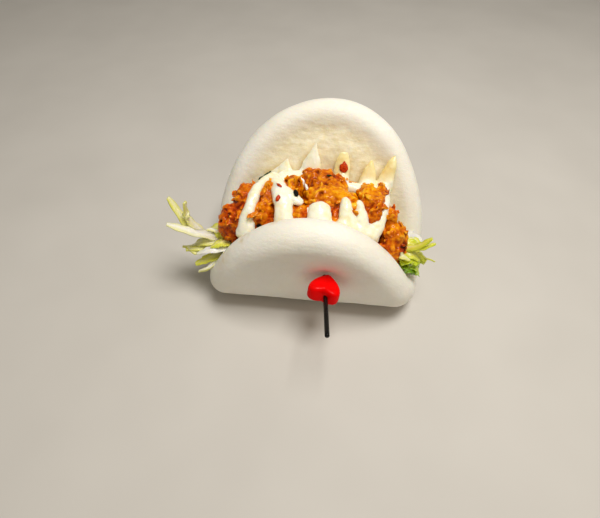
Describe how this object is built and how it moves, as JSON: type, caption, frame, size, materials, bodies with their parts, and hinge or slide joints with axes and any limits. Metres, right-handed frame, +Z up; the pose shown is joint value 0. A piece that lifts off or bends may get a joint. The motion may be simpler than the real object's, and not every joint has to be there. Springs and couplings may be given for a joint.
{
  "type": "pork bao bun",
  "caption": "Folded steamed bun standing on its fold, filled with crispy pork, mayonnaise and lettuce, with a heart pick in its front flap.",
  "frame": {"origin": "on the surface it rests on, under the middle of the fold's length", "axes": "+X along the fold, +Y towards the tall back flap, +Z up"},
  "size_m": [0.1145, 0.1082, 0.0658],
  "materials": {
    "dough": "soft satin",
    "crust": "rough, a little oily",
    "mayonnaise": "glossy",
    "lettuce": "moist satin",
    "leaf": "satin",
    "heart": "glossy red",
    "stick": "black lacquer"
  },
  "bodies": {
    "root": {"bun": "dough", "pork_left": "crust", "pork_second": "crust", "pork_chunk": "crust", "pork_front": "crust", "pork_centre": "crust", "pork_right": "crust", "pork_end": "crust", "mayonnaise": "mayonnaise", "shredded_lettuce": "lettuce", "leaf_strip": "leaf", "pick_heart": "heart", "pick_stick": "stick"}
  },
  "joints": []
}
